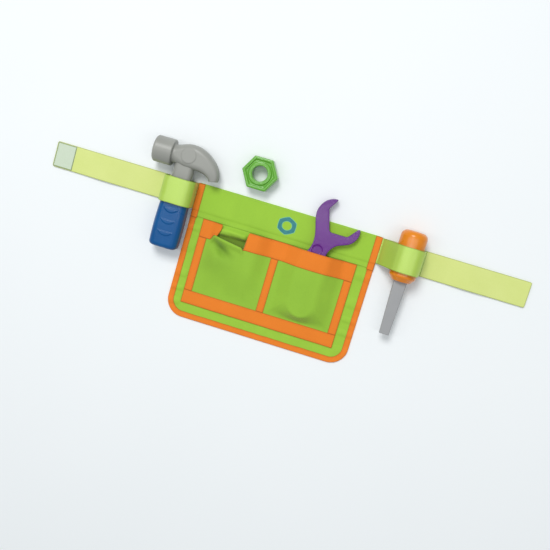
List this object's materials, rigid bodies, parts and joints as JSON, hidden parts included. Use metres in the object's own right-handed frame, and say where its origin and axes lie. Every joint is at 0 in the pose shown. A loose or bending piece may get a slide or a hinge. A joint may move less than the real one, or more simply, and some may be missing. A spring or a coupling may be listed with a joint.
{
  "type": "toy tool belt",
  "caption": "Child's fabric tool belt laid flat: apron with a trimmed double pocket, webbing straps and tool loops, holding a toy hammer, wrench and screwdriver, with a loose hex nut.",
  "frame": {"origin": "on the waistband's back face, at the middle of the webbing's width and the middle of the waistband's length", "axes": "+X along the belt towards the end with the screwdriver, +Y up towards the belt's top edge, +Z out of the front"},
  "size_m": [0.724, 0.2618, 0.0432],
  "materials": {
    "green_fabric": "matt woven polyester",
    "orange_tape": "matt woven binding tape",
    "green_webbing": "satin webbing",
    "hook_tape": "nylon hook tape",
    "pile_tape": "brushed nylon pile",
    "teal_print": "screen print",
    "grey_plastic": "satin moulded",
    "blue_plastic": "soft gloss",
    "orange_plastic": "gloss moulded",
    "blade_plastic": "satin moulded",
    "purple_plastic": "gloss moulded",
    "green_plastic": "gloss moulded"
  },
  "bodies": {
    "apron": {"apron_panel": "green_fabric", "apron_binding": "orange_tape", "waistband": "green_fabric", "centre_webbing": "green_webbing", "left_waistband_tape": "orange_tape", "right_waistband_tape": "orange_tape", "left_pocket_front": "green_fabric", "right_pocket_front": "green_fabric", "pocket_top_trim": "orange_tape", "pocket_bottom_trim": "orange_tape", "pocket_left_trim": "orange_tape", "pocket_divider_trim": "orange_tape", "pocket_right_trim": "orange_tape", "waistband_motif": "teal_print", "left_tool_loop": "green_webbing", "right_tool_loop": "green_webbing"},
    "left_strap_inner": {"left_strap_inner": "green_webbing"},
    "left_strap_outer": {"left_strap_outer": "green_webbing", "hook_patch": "hook_tape"},
    "right_strap_inner": {"right_strap_inner": "green_webbing"},
    "right_strap_outer": {"right_strap_outer": "green_webbing", "loop_patch": "pile_tape"},
    "hammer": {"hammer_head": "grey_plastic", "hammer_shaft": "grey_plastic", "hammer_grip": "blue_plastic"},
    "screwdriver": {"screwdriver_handle": "orange_plastic", "screwdriver_blade": "blade_plastic"},
    "wrench": {"wrench": "purple_plastic"},
    "nut": {"hex_nut": "green_plastic"}
  },
  "joints": [
    {"name": "hammer_lift", "type": "slide", "parent": "apron", "child": "hammer", "axis": [0, 1, 0], "range_m": [0, 0.112]},
    {"name": "screwdriver_lift", "type": "slide", "parent": "apron", "child": "screwdriver", "axis": [0, 1, 0], "range_m": [0, 0.136]},
    {"name": "wrench_lift", "type": "slide", "parent": "apron", "child": "wrench", "axis": [0, 1, 0], "range_m": [0, 0.1]},
    {"name": "nut_lift", "type": "slide", "parent": "apron", "child": "nut", "axis": [0, 0, 1], "range_m": [0, 0.05]},
    {"name": "left_strap_fold", "type": "hinge", "parent": "apron", "child": "left_strap_inner", "pos_m": [-0.1936, 0, 0.0016], "axis": [0, 1, 0], "range_deg": [-90, 90]},
    {"name": "left_strap_wrap", "type": "hinge", "parent": "left_strap_inner", "child": "left_strap_outer", "pos_m": [-0.2778, 0, 0.0016], "axis": [0, 1, 0], "range_deg": [-90, 90]},
    {"name": "right_strap_fold", "type": "hinge", "parent": "apron", "child": "right_strap_inner", "pos_m": [0.2085, 0, 0.0016], "axis": [0, -1, 0], "range_deg": [-90, 90]},
    {"name": "right_strap_wrap", "type": "hinge", "parent": "right_strap_inner", "child": "right_strap_outer", "pos_m": [0.28525, 0, 0.0016], "axis": [0, -1, 0], "range_deg": [-90, 90]}
  ]
}
